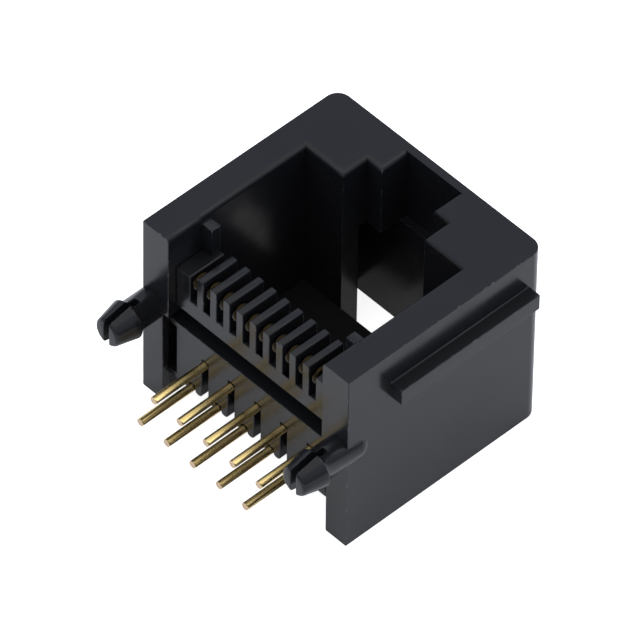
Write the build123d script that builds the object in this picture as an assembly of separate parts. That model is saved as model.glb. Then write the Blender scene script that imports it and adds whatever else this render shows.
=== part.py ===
from build123d import *
from math import cos, radians, sin
import os

# Ten-contact modular jack for a printed circuit board.
# It stands on its rear face with the plug mouth facing up (+Z). The board side faces -Y, the latch side +Y.
# The origin is the centre of the housing's rear face. Every piece is drawn from the board face (y = 0) and
# moved to that origin when it is written. All lengths are millimetres.

# Housing body
BODY_W = 15.88          # across the two side walls
BODY_H = 14.33          # from the board face to the latch side
BODY_D = 12.95          # from the rear face to the mouth face
CORNER_R = 0.85         # round corners on the latch side

# Plug mouth and cavity
CAVITY_W = 12.0
CEILING = 10.1          # height of the cavity ceiling above the board face
LATCH_W = 6.22          # recess in the ceiling for the plug's latch
LATCH_H = 1.77
TAB_W = 3.94            # slot above it for the latch's finger tab
TAB_H = 1.93
LEAD_IN = 0.3           # radius of the rounded edge round the mouth
SHOULDER_D = 4.95       # depth of the stepped mouth block, measured from the mouth face
REAR_WALL_T = 2.4

# Hollow behind the mouth block, open to the rear
CEILING_PLATE_T = 1.25
POCKET_W = 11.2
LATCH_WALL_T = 1.03

# Arms beside the contact carrier
ARM_H = 2.45            # the arms are closer together than the cavity walls up to this height
ARM_GAP = 11.88
LIP_T = 0.45            # lip in front of each guide groove
LIP_GAP = 12.7
GROOVE_GAP = 13.8       # across the floors of the two guide grooves
GROOVE_W = 1.2
GROOVE_TOP = 6.9

# Stop posts that the carrier's end blocks meet
POST_W = 0.85
POST_T = 0.65
POST_TOP = 12.5

# Side rib
RIB_OUT = 0.86
RIB_H = 1.1
RIB_SETBACK = 2.25      # below the mouth face
RIB_START = 3.08        # above the board face
RIB_LENGTH = 10.15
RIB_FILLET = 0.1

# Board pegs
PEG_SPACING = 14.5
PEG_Z = 7.06
PEG_R = 0.95
PEG_LENGTH = 3.3
PEG_STEM = 1.45         # from the board face to the barb
BARB_R = 1.2
BARB_RISE = 0.3
PEG_TIP_R = 0.86        # at the start of the end's rounding
PEG_ROUND = 0.25
PEG_SLOT_W = 0.4
PEG_SLOT_START = 0.97
PEG_ROOT = 0.85         # length of the half-round root on the side wall, before its round end

# Contacts
CONTACT_COUNT = 10
PITCH = 1.02
WIRE_D = 0.48
TAIL_LENGTH = 3.3       # below the board face
TAIL_CHAMFER = 0.08
REAR_ROW_Z = 2.12
ROW_SPACING = 2.54
RISER_Y = 1.9           # where the wire turns up behind the pin plate
BEND_R = 0.35
LOOP_R = 0.35
LOOP_SETBACK = 0.04     # of the wire's front behind the comb's front face
LOOP_DROP = 0.23        # of the wire's crest below the tooth tops
LEG_ANGLE = 50.0        # of the spring leg below the horizontal
LEG_LENGTH = 6.2

# Contact carrier
FIT = 0.03              # clearance of the carrier between the arms
CARRIER_BACK = 3.1
COMB_FACE = 0.57
COMB_BOTTOM = 7.56
TOOTH_TOP = 10.85
END_BLOCK_TOP = 10.5
COMB_SLOT_W = 0.52
COMB_SLOT_FLOOR = 8.66
COMB_EDGE_R = 0.12      # round edges of the teeth and of the end blocks beside them
LEG_CLEARANCE = 0.06    # under the spring leg where the slot floor falls away
SPINE_FACE = 1.45
SPINE_W = 11.6
PLATE_TOP = 6.35
PLATE_BOTTOM = 1.87
TONGUE_H = 0.4          # of the tongues at the plate's top and foot
PIN_SLOT_W = 0.5
PIN_SLOT_CLEARANCE = 0.05
TOOTH_ROUND = 0.22

# Places that follow from the sizes above
LATCH_TOP = CEILING + LATCH_H
TAB_TOP = LATCH_TOP + TAB_H
POCKET_TOP = BODY_H - LATCH_WALL_T
SHOULDER_Z = BODY_D - SHOULDER_D
PLATE_FACE = LIP_T + FIT
PLATE_BACK = LIP_T + GROOVE_W - FIT
CONTACT_X = [(k - (CONTACT_COUNT - 1) / 2) * PITCH for k in range(CONTACT_COUNT)]
TAIL_Z = [REAR_ROW_Z + ROW_SPACING * (k % 2) for k in range(CONTACT_COUNT)]
HOME = Pos(0, -BODY_H / 2, 0)

# Top loop of the wire in its YZ plane: its centre, the way the wire rises into it, and the way across it
RISE = Vector(0, -cos(radians(LEG_ANGLE)), sin(radians(LEG_ANGLE)))
ACROSS = Vector(0, RISE.Z, -RISE.Y)
LOOP_REACH = WIRE_D / 2 + LOOP_R
LOOP_CENTRE = Vector(0, COMB_FACE + LOOP_SETBACK + LOOP_REACH, TOOTH_TOP - LOOP_DROP - LOOP_REACH)


def slab(width, y0, y1, z0, z1):
    """Box centred across the jack, between two heights above the board and two depths."""
    return Pos(0, y0, z0) * Box(width, y1 - y0, z1 - z0, align=(Align.CENTER, Align.MIN, Align.MIN))


def both_sides(shape):
    return [shape, mirror(shape, about=Plane.YZ)]


def mouth_outline():
    """Stepped outline of the plug mouth: cavity, latch recess and tab slot, open to the board side."""
    outline = Pos(0, CEILING / 2) * Rectangle(CAVITY_W, CEILING)
    outline += Pos(0, LATCH_TOP / 2) * Rectangle(LATCH_W, LATCH_TOP)
    outline += Pos(0, TAB_TOP / 2) * Rectangle(TAB_W, TAB_TOP)
    return outline


def lead_in(width, y0, y1):
    """Cut that widens one part of the mouth at the mouth face and leaves a rounded edge on each side."""
    z = BODY_D - LEAD_IN
    section = Pos(0, z + LEAD_IN / 2) * Rectangle(width + 2 * LEAD_IN, LEAD_IN)
    for side in (-1, 1):
        section -= Pos(side * (width / 2 + LEAD_IN), z) * Circle(LEAD_IN)
    return Pos(0, y1, 0) * extrude(Plane.XZ * section, amount=y1 - y0)


def lead_in_with_end(width, y0, y1):
    """The same with a rounded edge across its end too."""
    end_y = y1 + LEAD_IN
    end = Pos(0, end_y, BODY_D - LEAD_IN) * Rot(0, 90, 0) * Cylinder(LEAD_IN, width + 2 * LEAD_IN)
    return lead_in(width, y0, end_y) - end


def mouth_cuts():
    """Stepped mouth with rounded edges, but for the thin wall over the tab slot."""
    bore = extrude(Pos(0, 0, SHOULDER_Z) * mouth_outline(), amount=SHOULDER_D)
    return [
        bore - slab(BODY_W, 0, ARM_H, SHOULDER_Z, BODY_D),
        lead_in(ARM_GAP, 0, ARM_H),
        lead_in_with_end(CAVITY_W, ARM_H, CEILING),
        lead_in_with_end(LATCH_W, ARM_H, LATCH_TOP),
        lead_in(TAB_W, ARM_H, TAB_TOP),
    ]


def hollow_cuts():
    """Plug cavity, the gap between the arms, and the hollow that opens to the rear over the cavity."""
    return [
        slab(CAVITY_W, ARM_H, CEILING, REAR_WALL_T, SHOULDER_Z),
        slab(ARM_GAP, 0, ARM_H, 0, BODY_D),
        slab(ARM_GAP, 0, CARRIER_BACK, 0, REAR_WALL_T),
        slab(LATCH_W, CEILING, CEILING + CEILING_PLATE_T, 0, SHOULDER_Z),
        slab(POCKET_W, CEILING + CEILING_PLATE_T, POCKET_TOP, 0, SHOULDER_Z),
    ]


def groove_cuts():
    """Guide grooves in the arms, each behind a lip, that the carrier's tongues slide up in."""
    return [
        slab(LIP_GAP, 0, LIP_T, 0, GROOVE_TOP),
        slab(GROOVE_GAP, LIP_T, LIP_T + GROOVE_W, 0, GROOVE_TOP),
    ]


def peg():
    """Split board peg with a barb, and its half-round root on the side wall."""
    barb_y = -PEG_STEM - BARB_RISE
    half = Polyline((0, PEG_ROOT + PEG_R), (0, -PEG_LENGTH), (PEG_TIP_R, -PEG_LENGTH), (BARB_R, barb_y),
                    (PEG_R, -PEG_STEM), (PEG_R, PEG_ROOT))
    face = make_face(half + CenterArc((0, PEG_ROOT), PEG_R, 0, 90))
    tip = face.vertices().sort_by_distance((PEG_TIP_R, -PEG_LENGTH))[0]
    body = revolve(fillet(tip, PEG_ROUND), axis=Axis.Y)
    slot_length = PEG_LENGTH - PEG_SLOT_START
    slot = Pos(0, -PEG_SLOT_START, 0) * Box(PEG_SLOT_W, slot_length, 2 * BARB_R,
                                            align=(Align.CENTER, Align.MAX, Align.CENTER))
    return Pos(PEG_SPACING / 2, 0, PEG_Z) * (body - slot)


def rib():
    """Flat rib along one side wall, with a fillet where its ledge meets the wall."""
    wall = BODY_W / 2
    ledge = BODY_D - RIB_SETBACK
    edge = Polyline((wall + RIB_FILLET, ledge), (wall + RIB_OUT, ledge), (wall + RIB_OUT, ledge - RIB_H),
                    (wall, ledge - RIB_H), (wall, ledge + RIB_FILLET))
    hollow = CenterArc((wall + RIB_FILLET, ledge + RIB_FILLET), RIB_FILLET, 180, 90)
    section = Plane.XZ * make_face(edge + hollow)
    return Pos(0, RIB_START + RIB_LENGTH, 0) * extrude(section, amount=RIB_LENGTH)


def post():
    """Square post in the corner of the cavity, down to the carrier's end block."""
    return Pos(CAVITY_W / 2 - POST_W, ARM_H, END_BLOCK_TOP) * Box(
        POST_W, POST_T, POST_TOP - END_BLOCK_TOP, align=(Align.MIN, Align.MIN, Align.MIN))


def housing():
    body = slab(BODY_W, 0, BODY_H, 0, BODY_D)
    corners = body.edges().filter_by(Axis.Z).group_by(Axis.Y)[-1]
    body = fillet(corners, CORNER_R)
    body += both_sides(peg())
    body += rib()
    body -= mouth_cuts() + hollow_cuts() + groove_cuts()
    return body + both_sides(post())


def along_wire(section, row_z):
    """Section swept from the tail's tip up the riser, over the loop and down the spring leg."""
    loop_start = LOOP_CENTRE - ACROSS * LOOP_R
    loop_end = LOOP_CENTRE + ACROSS * LOOP_R
    knee = loop_start - RISE * ((RISER_Y - loop_start.Y) / -RISE.Y)
    tail = Vector(0, -TAIL_LENGTH, row_z)
    path = FilletPolyline(tail, (0, RISER_Y, row_z), knee, loop_start, radius=BEND_R)
    path += ThreePointArc(loop_start, LOOP_CENTRE + RISE * LOOP_R, loop_end)
    path += Line(loop_end, loop_end - RISE * LEG_LENGTH)
    return sweep(Plane(origin=tail, z_dir=(0, 1, 0)) * section, path=path)


def contact(row_z):
    """Round wire with a tail for the board, a riser inside the carrier, a loop in its slot and a spring leg."""
    wire = along_wire(Circle(WIRE_D / 2), row_z)
    return chamfer(wire.edges().group_by(Axis.Y)[0], TAIL_CHAMFER)


def upright(width, z0, z1):
    """Rectangle in the front view, centred across the jack."""
    return Pos(0, (z0 + z1) / 2) * Rectangle(width, z1 - z0)


def comb():
    """Round-edged teeth between the contacts' slots, with a lower end block on each side."""
    teeth_w = CONTACT_COUNT * PITCH - (PITCH - COMB_SLOT_W)
    face = upright(ARM_GAP - 2 * FIT, COMB_BOTTOM, END_BLOCK_TOP) + upright(teeth_w, COMB_BOTTOM, TOOTH_TOP)
    for x in CONTACT_X:
        face -= Pos(x, 0) * upright(COMB_SLOT_W, COMB_SLOT_FLOOR, TOOTH_TOP)
    levels = face.vertices().group_by(Axis.Y)
    beside_slots = levels[-2].sort_by(lambda v: abs(v.X))[:2]
    face = fillet(levels[-1] + beside_slots, COMB_EDGE_R)
    return Pos(0, CARRIER_BACK, 0) * extrude(Plane.XZ * face, amount=CARRIER_BACK - COMB_FACE)


def leg_relief():
    """Wedge off the back of a slot's floor, which falls away under the spring leg."""
    under_leg = LOOP_CENTRE + ACROSS * (LOOP_R - WIRE_D / 2 - LEG_CLEARANCE)
    slope = RISE.Z / RISE.Y
    floor_y = under_leg.Y + (COMB_SLOT_FLOOR - under_leg.Z) / slope
    back_z = under_leg.Z + (CARRIER_BACK - under_leg.Y) * slope
    side = Polyline((floor_y, COMB_SLOT_FLOOR), (CARRIER_BACK, back_z), (CARRIER_BACK, COMB_SLOT_FLOOR), close=True)
    return extrude(Plane.YZ * make_face(side), amount=COMB_SLOT_W / 2, both=True)


def pin_plate():
    """Plate behind the lips: tongues at its top and foot, and slots from its foot up to each tail."""
    face = upright(SPINE_W, PLATE_BOTTOM, PLATE_TOP)
    face += upright(GROOVE_GAP - 2 * FIT, PLATE_TOP - TONGUE_H, PLATE_TOP)
    face += upright(GROOVE_GAP - 2 * FIT, PLATE_BOTTOM, PLATE_BOTTOM + TONGUE_H)
    for x, row_z in zip(CONTACT_X, TAIL_Z):
        face -= Pos(x, 0) * upright(PIN_SLOT_W, PLATE_BOTTOM, row_z + WIRE_D / 2 + PIN_SLOT_CLEARANCE)
    foot = face.vertices().group_by(Axis.Y)[0]
    tips = [v for v in foot if abs(v.X) < SPINE_W / 2]
    face = fillet(tips, TOOTH_ROUND)
    return Pos(0, PLATE_BACK, 0) * extrude(Plane.XZ * face, amount=PLATE_BACK - PLATE_FACE)


def contact_carrier():
    """Comb, spine and pin plate in one moulding, with a flat-sided channel that grips each wire."""
    carrier = comb() + slab(SPINE_W, SPINE_FACE, CARRIER_BACK, PLATE_BOTTOM, COMB_BOTTOM) + pin_plate()
    for x, row_z in zip(CONTACT_X, TAIL_Z):
        carrier -= Pos(x, 0, 0) * (leg_relief() + along_wire(Rectangle(WIRE_D, WIRE_D), row_z))
    return carrier


def main():
    os.makedirs("parts", exist_ok=True)
    pieces = {"housing": housing(), "contact_carrier": contact_carrier()}
    for number, (x, row_z) in enumerate(zip(CONTACT_X, TAIL_Z), 1):
        pieces[f"contact_{number:02d}"] = Pos(x, 0, 0) * contact(row_z)
    for name, shape in pieces.items():
        export_step(HOME * shape, f"parts/{name}.step")


main()
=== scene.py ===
import math

import bmesh
import bpy
from bpy.props import FloatProperty, FloatVectorProperty, IntProperty, PointerProperty
from mathutils import Matrix, Vector


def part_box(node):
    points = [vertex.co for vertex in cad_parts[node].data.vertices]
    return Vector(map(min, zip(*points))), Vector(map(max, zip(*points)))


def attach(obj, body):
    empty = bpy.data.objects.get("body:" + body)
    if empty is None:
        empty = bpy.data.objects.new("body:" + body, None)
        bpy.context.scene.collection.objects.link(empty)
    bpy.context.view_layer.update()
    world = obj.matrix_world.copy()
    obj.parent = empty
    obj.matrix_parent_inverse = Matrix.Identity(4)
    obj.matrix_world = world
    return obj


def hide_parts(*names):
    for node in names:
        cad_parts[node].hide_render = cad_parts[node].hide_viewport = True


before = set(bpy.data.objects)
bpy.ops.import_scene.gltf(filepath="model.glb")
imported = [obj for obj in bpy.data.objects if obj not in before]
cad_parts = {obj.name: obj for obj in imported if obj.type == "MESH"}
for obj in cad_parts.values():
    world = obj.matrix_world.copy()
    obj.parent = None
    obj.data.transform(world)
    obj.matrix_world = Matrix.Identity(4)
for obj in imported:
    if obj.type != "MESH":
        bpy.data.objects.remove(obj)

bl_info = {
    "name": "Modular jack",
    "version": (1, 0, 0),
    "blender": (4, 5, 0),
    "location": "3D view > Sidebar > Modular jack",
    "description": "Builds a board-mounted modular jack with a black housing and bent gold-plated contacts",
    "category": "Object",
}

MM = 0.001
BODY = "root"
REAR_ROW = [f"contact_{number:02d}" for number in range(1, 11, 2)]
FRONT_ROW = [f"contact_{number:02d}" for number in range(2, 11, 2)]

WELD = 0.001 * MM                   # corners nearer to each other than this are one
FLAT = math.radians(0.5)            # faces that turn less than this are one flat face
OUTER_EDGE = math.radians(28)       # outer edges that turn more than this get the mould's radius
INNER_CORNER = math.radians(50)     # corners past this angle stay sharp
BEND_STEPS = 12                     # steps in which a wire goes round a bend
SWEPT_SIDES = 4                     # corners of each face along a wire: a face with more is a cut end

EVEN_MOTTLE = (0.0, 1.0)            # levels of the mottle between which a skin's second colour comes in
FEW_SPOTS = (0.54, 0.68)            # the same on the edges, where only the highest spots are rubbed pale
RUBBED_DULLER = 0.08                # roughness that rubbing adds
PAINTED_SHADE_HEIGHT = (7.6 * MM, 8.6 * MM)       # over the pin plate, between these heights, the wires' painted shade in the comb's slots comes in
PAINTED_SHADE_DEPTH = (-4.3 * MM, -5.1 * MM)      # and inside the comb, between these places along Y
PAINTED_SHADE_DULLER = 0.05               # roughness added where the shade is painted
DRAWN_OUT = 0.04                    # scale of the draw lines' pattern along the wire, against 1 across it

PAPER_TOP = -0.02 * MM              # just clear of the rear face that stands on it
PAPER_LIFT = 0.85                   # glow that brings the paper up to white
MIRRORED = 0.26                     # part of the backdrop's white that a mirror shows
# The tent's colours from the table's level at 0 to straight overhead at 1.
TENT_CLOTH = ((0.05, "#42454C"), (0.45, "#A8B4CC"), (0.76, "#AEBAD2"), (0.84, "#FFFFFF"), (0.95, "#FFFFFF"))
TENT_STRENGTH = 1.45                # brightness of the cloth where its colour is white
SOFTBOX = 0.40                      # metres along each side


def linear(hex_colour):
    """sRGB hex to the linear RGBA that shader sockets take."""
    channels = [int(hex_colour[i:i + 2], 16) / 255 for i in (1, 3, 5)]
    return [c / 12.92 if c <= 0.04045 else ((c + 0.055) / 1.055) ** 2.4 for c in channels] + [1.0]


def per_metre(width_mm):
    """Scale of a noise whose features are this wide, because Object coordinates are in metres."""
    return 1 / (width_mm * MM)


def add(tree, kind, settings=None, links=None):
    """Adds a node. Settings name its properties or input sockets, and links join an input to an output."""
    node = tree.nodes.new(kind)
    for key, value in (settings or {}).items():
        if isinstance(key, str) and hasattr(node, key):
            setattr(node, key, value)
        else:
            node.inputs[key].default_value = value
    for key, source in (links or {}).items():
        tree.links.new(source, node.inputs[key])
    return node


def new_material(name):
    material = bpy.data.materials.new(name)
    material.use_nodes = True
    material.node_tree.nodes.clear()
    return material


# Materials

def moulded_polyester(name, colour, spot_colour, spots, roughness, grain_mm):
    """Glass-filled polyester, injection moulded and black: a smooth tool gives a clear gloss, the glass
    fibres under the skin mottle it, and the slow flow of the melt leaves it a little uneven. Real fibres are
    about 0.01 mm thick, so the mottle is drawn coarser than they are, to show. The spots are two levels of
    the mottle, between which its second colour comes in."""
    material = new_material(name)
    tree = material.node_tree
    glossiest, dullest = roughness - 0.05, roughness + 0.07
    place = add(tree, "ShaderNodeTexCoord").outputs["Object"]
    fibres = add(tree, "ShaderNodeTexNoise", {"Scale": per_metre(grain_mm), "Detail": 3.0, "Roughness": 0.6},
                 {"Vector": place})
    flow = add(tree, "ShaderNodeTexNoise", {"Scale": per_metre(4.5), "Detail": 2.0, "Distortion": 0.6},
               {"Vector": place})
    gloss = add(tree, "ShaderNodeMapRange",
                {"From Min": 0.3, "From Max": 0.7, "To Min": glossiest, "To Max": dullest},
                {"Value": flow.outputs["Fac"]})
    bare = add(tree, "ShaderNodeMapRange", {"From Min": spots[0], "From Max": spots[1]},
               {"Value": fibres.outputs["Fac"]})
    tone = add(tree, "ShaderNodeMix", {"data_type": "RGBA", 6: (*colour, 1.0), 7: (*spot_colour, 1.0)},
               {0: bare.outputs["Result"]})
    skin = add(tree, "ShaderNodeBump", {"Strength": 0.12, "Distance": 0.006 * MM},
               {"Height": fibres.outputs["Fac"]})
    sink = add(tree, "ShaderNodeBump", {"Strength": 0.5, "Distance": 0.02 * MM},
               {"Height": flow.outputs["Fac"], "Normal": skin.outputs["Normal"]})
    shader = add(tree, "ShaderNodeBsdfPrincipled", {"IOR": 1.52, "Specular IOR Level": 0.24},
                 {"Base Color": tone.outputs[2], "Roughness": gloss.outputs["Result"],
                  "Normal": sink.outputs["Normal"]})
    add(tree, "ShaderNodeOutputMaterial", {}, {"Surface": shader.outputs["BSDF"]})
    return material


def polyester_skins(settings, name):
    """The moulded skin, and the same plastic where the edges are rubbed pale in small spots."""
    skin = moulded_polyester(name, settings.colour, settings.mottle_colour, EVEN_MOTTLE, settings.roughness,
                             settings.grain)
    rubbed = moulded_polyester(f"{name}, rubbed edge", settings.edge_colour, settings.rub_colour, FEW_SPOTS,
                               settings.roughness + RUBBED_DULLER, settings.rub)
    return [skin, rubbed]


def gold_plated_wire(name, colour, deep_colour, painted_shade_colour, roughness):
    """Phosphor bronze wire, drawn and then gold plated: bright, with faint draw lines along it. Its
    reflections are stretched along the wire to match their look, which draw lines alone wouldn't do. The
    lines are drawn wider than real ones, to show. Inside the comb the gold is painted a dull dark brown:
    painted shade of the slots between the teeth."""
    material = new_material(name)
    tree = material.node_tree
    glossiest, dullest = roughness - 0.02, roughness + 0.02
    place = add(tree, "ShaderNodeTexCoord").outputs["Object"]
    axes = add(tree, "ShaderNodeSeparateXYZ", {}, {0: place})
    # Painted shade: where the wires run through the comb's slots they are darkened to a dark brown and made
    # duller, in place of the shade between the teeth.
    over_plate = add(tree, "ShaderNodeMapRange",
                     {"interpolation_type": "SMOOTHSTEP", "From Min": PAINTED_SHADE_HEIGHT[0],
                      "From Max": PAINTED_SHADE_HEIGHT[1]}, {"Value": axes.outputs["Z"]})
    in_comb = add(tree, "ShaderNodeMapRange",
                  {"interpolation_type": "SMOOTHSTEP", "From Min": PAINTED_SHADE_DEPTH[0],
                   "From Max": PAINTED_SHADE_DEPTH[1]}, {"Value": axes.outputs["Y"]})
    painted_shade = add(tree, "ShaderNodeMath", {"operation": "MULTIPLY"},
                  {0: over_plate.outputs["Result"], 1: in_comb.outputs["Result"]})
    drawn_out = add(tree, "ShaderNodeMapping", {"Scale": (1.0, DRAWN_OUT, DRAWN_OUT)}, {"Vector": place})
    lines = add(tree, "ShaderNodeTexNoise", {"Scale": per_metre(0.12), "Detail": 1.0},
                {"Vector": drawn_out.outputs["Vector"]})
    cloud = add(tree, "ShaderNodeTexNoise", {"Scale": per_metre(1.6), "Detail": 2.0}, {"Vector": place})
    tone = add(tree, "ShaderNodeMix", {"data_type": "RGBA", 6: (*colour, 1.0), 7: (*deep_colour, 1.0)},
               {0: cloud.outputs["Fac"]})
    shaded_tone = add(tree, "ShaderNodeMix", {"data_type": "RGBA", 7: (*painted_shade_colour, 1.0)},
               {0: painted_shade.outputs[0], 6: tone.outputs[2]})
    gloss = add(tree, "ShaderNodeMapRange", {"To Min": glossiest, "To Max": dullest},
                {"Value": lines.outputs["Fac"]})
    dulled = add(tree, "ShaderNodeMath", {"operation": "MULTIPLY_ADD", 1: PAINTED_SHADE_DULLER},
                 {0: painted_shade.outputs[0], 2: gloss.outputs["Result"]})
    along = add(tree, "ShaderNodeCombineXYZ", {"Y": 1.0})
    shader = add(tree, "ShaderNodeBsdfPrincipled", {"Metallic": 1.0, "Anisotropic": 0.9},
                 {"Base Color": shaded_tone.outputs[2], "Roughness": dulled.outputs[0],
                  "Tangent": along.outputs[0]})
    add(tree, "ShaderNodeOutputMaterial", {}, {"Surface": shader.outputs["BSDF"]})
    return material


def sheared_bronze(name, colour):
    """Bronze core, bared and roughened where the wire was cut to length after plating. The marks are drawn
    coarser than real ones, to show."""
    material = new_material(name)
    tree = material.node_tree
    place = add(tree, "ShaderNodeTexCoord").outputs["Object"]
    marks = add(tree, "ShaderNodeTexNoise", {"Scale": per_metre(0.06), "Detail": 1.0}, {"Vector": place})
    gloss = add(tree, "ShaderNodeMapRange", {"To Min": 0.3, "To Max": 0.5}, {"Value": marks.outputs["Fac"]})
    shader = add(tree, "ShaderNodeBsdfPrincipled", {"Metallic": 1.0, "Base Color": (*colour, 1.0)},
                 {"Roughness": gloss.outputs["Result"]})
    add(tree, "ShaderNodeOutputMaterial", {}, {"Surface": shader.outputs["BSDF"]})
    return material


def backdrop_share(tree):
    """Output socket: 1 where the camera sees the backdrop itself, and a part of that in a mirror."""
    rays = add(tree, "ShaderNodeLightPath")
    mirrored = add(tree, "ShaderNodeMath", {"operation": "MAXIMUM"},
                   {0: rays.outputs["Is Glossy Ray"], 1: rays.outputs["Is Transmission Ray"]})
    return add(tree, "ShaderNodeMath", {"operation": "MULTIPLY_ADD", 1: MIRRORED},
               {0: mirrored.outputs[0], 2: rays.outputs["Is Camera Ray"]}).outputs[0]


def studio_paper(name, colour, lift):
    """Seamless white paper. The camera sees it lifted to white, mirrors see a part of that lift, and the
    object's shadow still shows."""
    material = new_material(name)
    tree = material.node_tree
    fibre = add(tree, "ShaderNodeTexNoise", {"Scale": per_metre(2.0), "Detail": 2.0},
                {"Vector": add(tree, "ShaderNodeTexCoord").outputs["Object"]})
    tone = add(tree, "ShaderNodeMix", {"data_type": "RGBA", 6: linear(colour), 7: linear("#FFFFFF")},
               {0: fibre.outputs["Fac"]})
    matt = add(tree, "ShaderNodeBsdfDiffuse", {}, {"Color": tone.outputs[2]})
    shine = add(tree, "ShaderNodeMath", {"operation": "MULTIPLY", 1: lift}, {0: backdrop_share(tree)})
    glow = add(tree, "ShaderNodeEmission", {}, {"Strength": shine.outputs[0]})
    both = add(tree, "ShaderNodeAddShader", {}, {0: matt.outputs[0], 1: glow.outputs[0]})
    add(tree, "ShaderNodeOutputMaterial", {}, {"Surface": both.outputs[0]})
    return material


# Pieces

def finish_piece(name, mesh, replaced, materials):
    """Puts a finished mesh in the scene at the origin, on the one CAD body, in place of its CAD nodes."""
    piece = bpy.data.objects.new(name, mesh)
    bpy.context.scene.collection.objects.link(piece)
    for material in materials:
        mesh.materials.append(material)
    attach(piece, BODY)
    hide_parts(*replaced)
    return piece


def rounded_copy(node_name, name, edge_round):
    """Copy of a CAD node's mesh, welded, with the small radius that a mould leaves along each outer edge.
    The faces of that radius take the second material."""
    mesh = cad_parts[node_name].data.copy()
    mesh.name = name
    mesh.materials.clear()
    shape = bmesh.new()
    shape.from_mesh(mesh)
    bmesh.ops.remove_doubles(shape, verts=shape.verts, dist=WELD)
    bmesh.ops.dissolve_limit(shape, angle_limit=FLAT, verts=shape.verts, edges=shape.edges)
    outer = [edge for edge in shape.edges
             if edge.is_manifold and edge.calc_face_angle_signed(0) > OUTER_EDGE]
    bmesh.ops.bevel(shape, geom=outer, offset=edge_round, segments=2, profile=0.5, affect="EDGES",
                    offset_type="OFFSET", clamp_overlap=False, miter_outer="ARC", loop_slide=True,
                    material=1)
    bmesh.ops.recalc_face_normals(shape, faces=shape.faces)
    for face in shape.faces:
        face.smooth = True
    for edge in shape.edges:
        edge.smooth = edge.calc_face_angle(0) < INNER_CORNER
    shape.to_mesh(mesh)
    shape.free()
    return mesh


def moulded_piece(settings, node_name, name, plastic):
    """One plastic piece in place of its CAD node. Its large flat faces keep their shading, and only the
    rounded edges turn."""
    skins = polyester_skins(settings, plastic)
    mesh = rounded_copy(node_name, name, settings.edge_round)
    piece = finish_piece(name, mesh, [node_name], skins)
    modifier = piece.modifiers.new("Flat faces", "WEIGHTED_NORMAL")
    modifier.keep_sharp = True
    modifier.weight = 100


def wire_route(settings, row_z, tail_y):
    """Middle line of one contact from its tail's tip to its spring leg's end, with its corners unrounded."""
    rise = Vector((0, -math.cos(settings.leg_angle), math.sin(settings.leg_angle)))
    across = Vector((0, rise.z, -rise.y))
    centre = Vector(settings.loop_centre)
    before = centre - across * settings.bend
    after = centre + across * settings.bend
    riser_y = tail_y + settings.riser
    knee = before + rise * ((riser_y - before.y) / rise.y)
    return [Vector((0, tail_y, row_z)), Vector((0, tail_y + settings.cut, row_z)),
            Vector((0, riser_y, row_z)), knee, before + rise * settings.bend, after + rise * settings.bend,
            after - rise * settings.leg]


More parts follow.
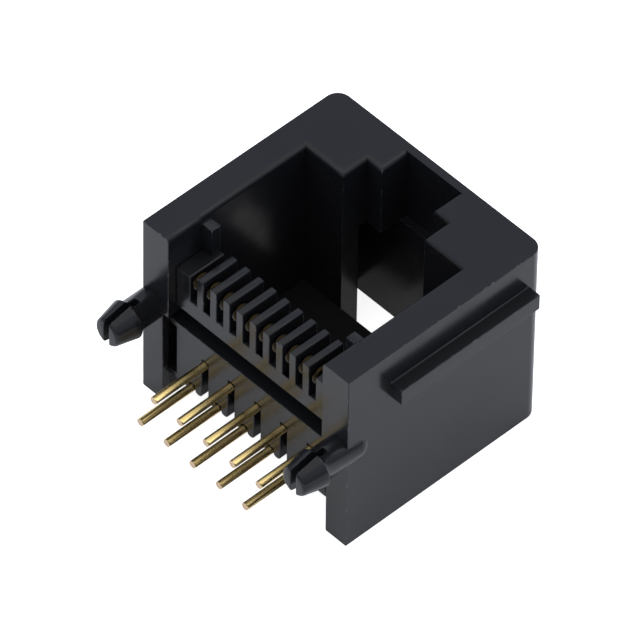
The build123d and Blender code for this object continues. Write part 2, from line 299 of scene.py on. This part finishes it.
def wire_row_tree():
    """Geometry Nodes: a route is filleted, swept with a round section and repeated along the row. The wires
    are made real before they get their materials."""
    tree = bpy.data.node_groups.new("Row of bent wires", "GeometryNodeTree")
    sockets = tree.interface
    sockets.new_socket("Route", in_out="INPUT", socket_type="NodeSocketGeometry")
    for name, kind in (("Wire diameter", "Float"), ("Bend radius", "Float"), ("Cut edge", "Float"),
                       ("Facets", "Int"), ("Steps in a bend", "Int"), ("Contacts", "Int"),
                       ("Spacing", "Float"), ("Start", "Float"), ("Wander", "Float"), ("Seed", "Int"),
                       ("Plating", "Material"), ("Sheared end", "Material")):
        sockets.new_socket(name, in_out="INPUT", socket_type=f"NodeSocket{kind}")
    sockets.new_socket("Row", in_out="OUTPUT", socket_type="NodeSocketGeometry")
    given = add(tree, "NodeGroupInput").outputs
    line = add(tree, "GeometryNodeMeshToCurve", {}, {"Mesh": given["Route"]})
    radius = add(tree, "ShaderNodeMath", {"operation": "MULTIPLY", 1: 0.5}, {0: given["Wire diameter"]})
    left = add(tree, "ShaderNodeMath", {"operation": "SUBTRACT"},
               {0: radius.outputs[0], 1: given["Cut edge"]})
    share = add(tree, "ShaderNodeMath", {"operation": "DIVIDE"}, {0: left.outputs[0], 1: radius.outputs[0]})
    index = add(tree, "GeometryNodeInputIndex")
    at_tip = add(tree, "FunctionNodeCompare", {"data_type": "INT", "operation": "EQUAL", 3: 0},
                 {2: index.outputs[0]})
    width = add(tree, "GeometryNodeSwitch", {"input_type": "FLOAT", "False": 1.0},
                {"Switch": at_tip.outputs[0], "True": share.outputs[0]})
    drawn = add(tree, "GeometryNodeSetCurveRadius", {},
                {"Curve": line.outputs[0], "Radius": width.outputs[0]})
    bent = add(tree, "GeometryNodeFilletCurve", {"mode": "POLY", "Limit Radius": True},
               {"Curve": drawn.outputs[0], "Radius": given["Bend radius"],
                "Count": given["Steps in a bend"]})
    section = add(tree, "GeometryNodeCurvePrimitiveCircle", {},
                  {"Resolution": given["Facets"], "Radius": radius.outputs[0]})
    wire = add(tree, "GeometryNodeCurveToMesh", {"Fill Caps": True},
               {"Curve": bent.outputs[0], "Profile Curve": section.outputs[0]})
    smooth = add(tree, "GeometryNodeSetShadeSmooth", {}, {"Geometry": wire.outputs[0]})
    sides = add(tree, "GeometryNodeInputMeshFaceNeighbors")
    is_cap = add(tree, "FunctionNodeCompare",
                 {"data_type": "INT", "operation": "GREATER_THAN", 3: SWEPT_SIDES},
                 {2: sides.outputs["Vertex Count"]})
    flat = add(tree, "GeometryNodeSetShadeSmooth", {"Shade Smooth": False},
               {"Geometry": smooth.outputs[0], "Selection": is_cap.outputs[0]})
    step = add(tree, "ShaderNodeCombineXYZ", {}, {"X": given["Spacing"]})
    first = add(tree, "ShaderNodeCombineXYZ", {}, {"X": given["Start"]})
    places = add(tree, "GeometryNodeMeshLine", {},
                 {"Count": given["Contacts"], "Start Location": first.outputs[0], "Offset": step.outputs[0]})
    back = add(tree, "ShaderNodeMath", {"operation": "MULTIPLY", 1: -1.0}, {0: given["Wander"]})
    low = add(tree, "ShaderNodeCombineXYZ", {}, {"X": back.outputs[0], "Z": back.outputs[0]})
    high = add(tree, "ShaderNodeCombineXYZ", {}, {"X": given["Wander"], "Z": given["Wander"]})
    turn = add(tree, "FunctionNodeRandomValue", {"data_type": "FLOAT_VECTOR"},
               {0: low.outputs[0], 1: high.outputs[0], "Seed": given["Seed"]})
    row = add(tree, "GeometryNodeInstanceOnPoints", {},
              {"Points": places.outputs[0], "Instance": flat.outputs[0], "Rotation": turn.outputs[0]})
    real = add(tree, "GeometryNodeRealizeInstances", {}, {"Geometry": row.outputs[0]})
    plated = add(tree, "GeometryNodeSetMaterial", {},
                 {"Geometry": real.outputs[0], "Material": given["Plating"]})
    ended = add(tree, "GeometryNodeSetMaterial", {},
                {"Geometry": plated.outputs[0], "Selection": is_cap.outputs[0],
                 "Material": given["Sheared end"]})
    add(tree, "NodeGroupOutput", {}, {"Row": ended.outputs[0]})
    return tree


def wire_row(name, route, tree, sizes):
    """Plain mesh of one row of contacts, made by the tree from one contact's route."""
    mesh = bpy.data.meshes.new(name)
    mesh.from_pydata([tuple(point) for point in route], [(i, i + 1) for i in range(len(route) - 1)], [])
    maker = bpy.data.objects.new(name, mesh)
    bpy.context.scene.collection.objects.link(maker)
    modifier = maker.modifiers.new("Row", "NODES")
    modifier.node_group = tree
    sockets = {item.name: item.identifier for item in tree.interface.items_tree if item.in_out == "INPUT"}
    for key, value in sizes.items():
        modifier[sockets[key]] = value
    made = maker.evaluated_get(bpy.context.evaluated_depsgraph_get())
    row = bpy.data.meshes.new_from_object(made)
    bpy.data.objects.remove(maker)
    shape = bmesh.new()
    shape.from_mesh(row)
    bmesh.ops.recalc_face_normals(shape, faces=shape.faces)
    shape.to_mesh(row)
    shape.free()
    row.name = name
    return row


class JackSettings(bpy.types.PropertyGroup):
    """Sizes and colours of the plastic pieces."""
    edge_round: FloatProperty(name="Edge radius", description="Radius along the moulded edges",
                              default=0.045 * MM, unit="LENGTH")
    roughness: FloatProperty(name="Gloss", description="Roughness of the moulded skin", default=0.2,
                             min=0.05, max=1.0)
    grain: FloatProperty(name="Fibre mottle", description="Width of the mottle in the skin, in millimetres",
                         default=0.12)
    rub: FloatProperty(name="Rubbed spots", default=0.35,
                       description="Width of the pale spots along the edges, in millimetres")
    colour: FloatVectorProperty(name="Plastic", description="Colour of the moulded skin",
                                default=linear("#161617")[:3], subtype="COLOR", size=3)
    mottle_colour: FloatVectorProperty(name="Mottle", description="Second colour of the moulded skin",
                                       default=linear("#1E1E20")[:3], subtype="COLOR", size=3)
    edge_colour: FloatVectorProperty(name="Edges", description="Colour of the edges between the spots",
                                     default=linear("#18181A")[:3], subtype="COLOR", size=3)
    rub_colour: FloatVectorProperty(name="Rubs", description="Colour of the pale spots along the edges",
                                    default=linear("#4A4C52")[:3], subtype="COLOR", size=3)


class ContactSettings(bpy.types.PropertyGroup):
    """Sizes and colours of the bent wires."""
    wire: FloatProperty(name="Wire", description="Diameter of the wire", default=0.48 * MM, unit="LENGTH")
    bend: FloatProperty(name="Bend", description="Radius of each bend at the wire's middle line",
                        default=0.35 * MM, unit="LENGTH")
    cut: FloatProperty(name="Cut edge", description="Edge broken off round the cut tip", default=0.08 * MM,
                       unit="LENGTH")
    riser: FloatProperty(name="Tail", description="From the tip to the bend inside the carrier",
                         default=5.2 * MM, unit="LENGTH")
    leg: FloatProperty(name="Spring leg", description="Length past the loop", default=6.2 * MM,
                       unit="LENGTH")
    leg_angle: FloatProperty(name="Leg angle", description="Slope of the spring leg",
                             default=math.radians(50), subtype="ANGLE")
    loop_centre: FloatVectorProperty(name="Loop", default=(0.0, -5.965 * MM, 10.03 * MM), subtype="XYZ",
                                     description="Centre of the loop over the comb, across the row")
    pitch: FloatProperty(name="Pitch", description="From one contact to the next", default=1.02 * MM,
                         unit="LENGTH")
    wander: FloatProperty(name="Wander", description="How far a wire leans from its neighbours",
                          default=math.radians(0.15), subtype="ANGLE")
    tip_room: FloatProperty(name="Tip room", default=0.015 * MM, unit="LENGTH",
                            description="How far the tips stay back, so that leaning ones stay in the box")
    facets: IntProperty(name="Facets", description="Faces round the wire", default=28, min=8)
    colour: FloatVectorProperty(name="Gold", description="Colour of the plating",
                                default=linear("#F6DD9E")[:3], subtype="COLOR", size=3)
    deep_colour: FloatVectorProperty(name="Deeper gold", description="Colour of the clouds in the plating",
                                     default=linear("#EACB84")[:3], subtype="COLOR", size=3)
    # Painted shade: the dark brown that the wires take in the comb's slots stands in for the shade there.
    painted_shade_colour: FloatVectorProperty(name="Gold in painted shade", default=linear("#261F12")[:3], subtype="COLOR",
                                     description="Colour painted on the wires in the comb as shade", size=3)
    core_colour: FloatVectorProperty(name="Bronze", description="Colour of the bared core at the tips",
                                     default=linear("#CDB597")[:3], subtype="COLOR", size=3)
    roughness: FloatProperty(name="Plating gloss", description="Roughness of the gold plating",
                             default=0.175)


class StageSettings(bpy.types.PropertyGroup):
    """Camera and paper."""
    lens: FloatProperty(name="Lens", description="Focal length on a 36 mm sensor", default=610.5)
    azimuth: FloatProperty(name="Azimuth", description="Camera's place round the jack, in degrees",
                           default=45.820)
    elevation: FloatProperty(name="Elevation", description="Camera's height, in degrees", default=47.634)
    roll: FloatProperty(name="Roll", description="Camera's roll, in degrees", default=0.987)
    place: FloatVectorProperty(name="Place", description="Camera's place in the jack's frame",
                               default=(0.279572, -0.273321, 0.434823), subtype="XYZ")
    floor_size: FloatProperty(name="Paper", description="Width of the paper", default=3.0, unit="LENGTH")


class JACK_OT_housing(bpy.types.Operator):
    """Makes the moulded housing with rounded edges"""
    bl_idname = "jack.housing"
    bl_label = "Housing"

    def execute(self, context):
        moulded_piece(context.scene.jack_plastic, "housing", "Moulded_housing",
                      "Black glass-filled polyester")
        return {"FINISHED"}


class JACK_OT_carrier(bpy.types.Operator):
    """Makes the slotted carrier that holds the contacts"""
    bl_idname = "jack.carrier"
    bl_label = "Contact carrier"

    def execute(self, context):
        moulded_piece(context.scene.jack_plastic, "contact_carrier", "Slotted_carrier",
                      "Black polyester of the carrier")
        return {"FINISHED"}


class JACK_OT_contacts(bpy.types.Operator):
    """Makes both rows of bent wire contacts"""
    bl_idname = "jack.contacts"
    bl_label = "Contacts"

    def execute(self, context):
        settings = context.scene.jack_wire
        gold = gold_plated_wire("Gold-plated bronze wire", settings.colour, settings.deep_colour,
                                settings.painted_shade_colour, settings.roughness)
        bare = sheared_bronze("Sheared bronze", settings.core_colour)
        tree = wire_row_tree()
        for name, nodes, seed in (("Contacts_rear_row", REAR_ROW, 3), ("Contacts_front_row", FRONT_ROW, 8)):
            low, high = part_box(nodes[0])
            route = wire_route(settings, low[2] + settings.wire / 2, low[1] + settings.tip_room)
            sizes = {"Wire diameter": settings.wire, "Bend radius": settings.bend, "Cut edge": settings.cut,
                     "Facets": settings.facets, "Steps in a bend": BEND_STEPS, "Contacts": len(nodes),
                     "Spacing": 2 * settings.pitch, "Start": (low[0] + high[0]) / 2,
                     "Wander": settings.wander, "Seed": seed, "Plating": gold, "Sheared end": bare}
            mesh = wire_row(name, route, tree, sizes)
            finish_piece(name, mesh, nodes, [])
        return {"FINISHED"}


class JACK_OT_stage(bpy.types.Operator):
    """Makes the paper, the lights and the camera"""
    bl_idname = "jack.stage"
    bl_label = "Stage"

    def execute(self, context):
        settings = context.scene.jack_stage
        scene = context.scene
        self.paper(scene, settings)
        self.lights(scene)
        self.camera(scene, settings)
        scene.view_settings.view_transform = "Standard"
        return {"FINISHED"}

    def paper(self, scene, settings):
        half = settings.floor_size / 2
        mesh = bpy.data.meshes.new("Paper")
        outline = ((-half, -half), (half, -half), (half, half), (-half, half))
        corners = [(x, y, PAPER_TOP) for x, y in outline]
        mesh.from_pydata(corners, [], [(0, 1, 2, 3)])
        mesh.materials.append(studio_paper("Seamless white paper", "#F4F2EE", PAPER_LIFT))
        floor = bpy.data.objects.new("Paper", mesh)
        scene.collection.objects.link(floor)

    def lights(self, scene):
        scene.world = self.tent()
        self.softbox(scene, "Back softbox", place=(0.30, 0.42, 0.62), power=0.5, colour="#FFFFFF")
        self.softbox(scene, "Front softbox", place=(-0.34, -0.42, 0.60), power=0.4, colour="#FFFBF4")

    def tent(self):
        """Light tent: open and dark at the level of the table, and pale overhead. The camera sees white."""
        world = bpy.data.worlds.new("Light tent")
        world.use_nodes = True
        tree = world.node_tree
        tree.nodes.clear()
        way = add(tree, "ShaderNodeTexCoord").outputs["Generated"]
        height = add(tree, "ShaderNodeSeparateXYZ", {}, {0: way}).outputs["Z"]
        cloth = add(tree, "ShaderNodeValToRGB", {}, {"Fac": height})
        ramp = cloth.color_ramp
        ramp.interpolation = "EASE"
        lowest, *between, highest = TENT_CLOTH
        for stop, (position, colour) in zip(ramp.elements, (lowest, highest)):
            stop.position = position
            stop.color = linear(colour)
        for position, colour in between:
            ramp.elements.new(position).color = linear(colour)
        light = add(tree, "ShaderNodeBackground", {"Strength": TENT_STRENGTH},
                    {"Color": cloth.outputs["Color"]})
        white = add(tree, "ShaderNodeBackground", {"Color": linear("#FFFFFF"), "Strength": 1.0})
        both = add(tree, "ShaderNodeMixShader", {},
                   {0: backdrop_share(tree), 1: light.outputs[0], 2: white.outputs[0]})
        add(tree, "ShaderNodeOutputWorld", {}, {"Surface": both.outputs[0]})
        return world

    def softbox(self, scene, name, place, power, colour):
        lamp = bpy.data.lights.new(name, "AREA")
        lamp.shape = "SQUARE"
        lamp.size = SOFTBOX
        lamp.energy = power
        lamp.color = linear(colour)[:3]
        light = bpy.data.objects.new(name, lamp)
        light.location = place
        light.rotation_euler = Vector(place).to_track_quat("Z", "Y").to_euler()
        scene.collection.objects.link(light)

    def camera(self, scene, settings):
        azimuth = math.radians(settings.azimuth)
        elevation = math.radians(settings.elevation)
        roll = math.radians(settings.roll)
        back = Vector((math.sin(azimuth) * math.cos(elevation), -math.cos(azimuth) * math.cos(elevation),
                       math.sin(elevation)))
        level = Vector((math.cos(azimuth), math.sin(azimuth), 0.0))
        upright = back.cross(level)
        right = math.cos(roll) * level + math.sin(roll) * upright
        up = math.cos(roll) * upright - math.sin(roll) * level
        turn = Matrix((right, up, back)).transposed().to_4x4()
        data = bpy.data.cameras.new("Camera")
        data.sensor_width = 36.0
        data.lens = settings.lens
        data.clip_start = 0.05
        data.clip_end = 10.0
        camera = bpy.data.objects.new("Camera", data)
        camera.matrix_world = Matrix.Translation(settings.place) @ turn
        scene.collection.objects.link(camera)
        scene.camera = camera


class JACK_PT_panel(bpy.types.Panel):
    """Lists the pieces of the jack"""
    bl_idname = "JACK_PT_panel"
    bl_label = "Modular jack"
    bl_space_type = "VIEW_3D"
    bl_region_type = "UI"
    bl_category = "Modular jack"

    def draw(self, context):
        for name in ("housing", "carrier", "contacts", "stage"):
            self.layout.operator(f"jack.{name}")


CLASSES = [JackSettings, ContactSettings, StageSettings, JACK_OT_housing, JACK_OT_carrier, JACK_OT_contacts,
           JACK_OT_stage, JACK_PT_panel]


def register():
    for item in CLASSES:
        bpy.utils.register_class(item)
    bpy.types.Scene.jack_plastic = PointerProperty(type=JackSettings)
    bpy.types.Scene.jack_wire = PointerProperty(type=ContactSettings)
    bpy.types.Scene.jack_stage = PointerProperty(type=StageSettings)


def unregister():
    del bpy.types.Scene.jack_stage, bpy.types.Scene.jack_wire, bpy.types.Scene.jack_plastic
    for item in reversed(CLASSES):
        bpy.utils.unregister_class(item)


def main():
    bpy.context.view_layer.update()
    register()
    bpy.ops.jack.housing()
    bpy.ops.jack.carrier()
    bpy.ops.jack.contacts()
    bpy.ops.jack.stage()


if __name__ == "__main__":
    main()
